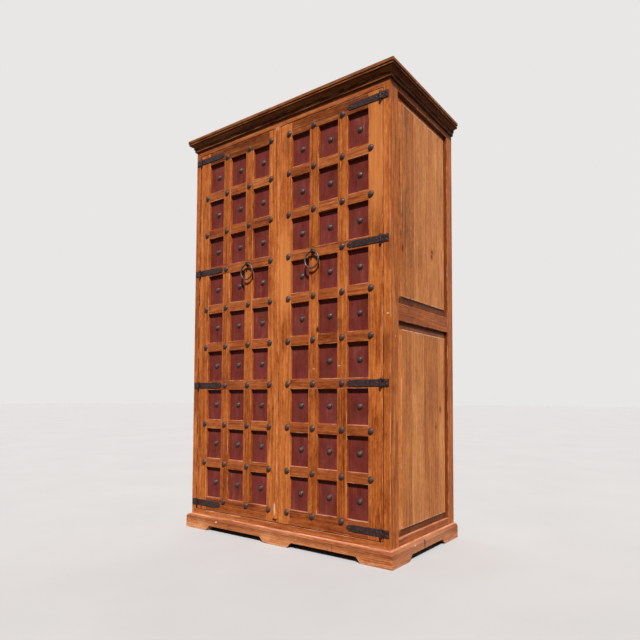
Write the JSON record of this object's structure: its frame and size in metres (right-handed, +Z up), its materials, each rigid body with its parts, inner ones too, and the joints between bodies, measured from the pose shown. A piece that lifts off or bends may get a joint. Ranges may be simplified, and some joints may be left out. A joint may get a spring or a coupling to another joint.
{
  "type": "trastero cabinet",
  "caption": "Tall two-door pine trastero with lattice doors of dark red panels, iron studs, strap hinges and ring pulls, raised side panels, moulded cornice and bracket-foot plinth.",
  "frame": {"origin": "on the floor, at the middle of the rectangle that the whole cabinet covers", "axes": "+Z up, the doors face -Y, +X to the right of someone who faces the doors"},
  "size_m": [1.292, 0.686, 2.116],
  "materials": {
    "pine": "honey-orange stain under satin varnish",
    "oxblood_panels": "dark red paint, satin",
    "iron": "dark hammered and waxed",
    "pine_inside": "bare or thinly varnished"
  },
  "bodies": {
    "carcass": {"right_front_post": "pine", "right_back_post": "pine", "right_side_rails": "pine", "right_side_panels": "pine", "left_front_post": "pine", "left_back_post": "pine", "left_side_rails": "pine", "left_side_panels": "pine", "face_top_rail": "pine", "face_bottom_rail": "pine", "back_rails": "pine_inside", "back_boards": "pine_inside", "floor_board": "pine_inside", "shelves": "pine_inside", "cleats": "pine_inside", "door_stop": "pine_inside", "top_board": "pine", "cornice_front": "pine", "cornice_right": "pine", "cornice_left": "pine", "plinth_front": "pine", "plinth_right": "pine", "plinth_left": "pine", "plinth_back": "pine_inside", "centre_foot_block": "pine_inside", "hinge_leaves": "iron", "hinge_pins": "iron", "leaf_nails": "iron"},
    "left_door": {"left_hinge_stile": "pine", "left_meeting_stile": "pine", "left_top_rail": "pine", "left_upper_lock_rail": "pine", "left_lower_lock_rail": "pine", "left_bottom_rail": "pine", "left_muntins": "pine", "left_cross_bars": "pine", "left_lattice_studs": "iron", "left_strap_hinges": "iron", "left_strap_nails": "iron", "left_ring_eye": "iron", "left_panels": "oxblood_panels", "left_panel_studs": "iron", "left_astragal": "pine"},
    "right_door": {"right_hinge_stile": "pine", "right_meeting_stile": "pine", "right_top_rail": "pine", "right_upper_lock_rail": "pine", "right_lower_lock_rail": "pine", "right_bottom_rail": "pine", "right_muntins": "pine", "right_cross_bars": "pine", "right_lattice_studs": "iron", "right_strap_hinges": "iron", "right_strap_nails": "iron", "right_ring_eye": "iron", "right_panels": "oxblood_panels", "right_panel_studs": "iron"},
    "left_ring": {"left_ring": "iron"},
    "right_ring": {"right_ring": "iron"}
  },
  "joints": [
    {"name": "right_door_hinge", "type": "hinge", "parent": "carcass", "child": "right_door", "pos_m": [0.567, -0.314, 1], "axis": [0, 0, 1], "range_deg": [0, 175]},
    {"name": "left_door_hinge", "type": "hinge", "parent": "carcass", "child": "left_door", "pos_m": [-0.567, -0.314, 1], "axis": [0, 0, -1], "range_deg": [0, 175]},
    {"name": "right_ring_swing", "type": "hinge", "parent": "right_door", "child": "right_ring", "pos_m": [0.20663, -0.321, 1.36833], "axis": [-1, 0, 0], "range_deg": [-5, 170]},
    {"name": "left_ring_swing", "type": "hinge", "parent": "left_door", "child": "left_ring", "pos_m": [-0.20663, -0.321, 1.36833], "axis": [-1, 0, 0], "range_deg": [-5, 170]}
  ]
}
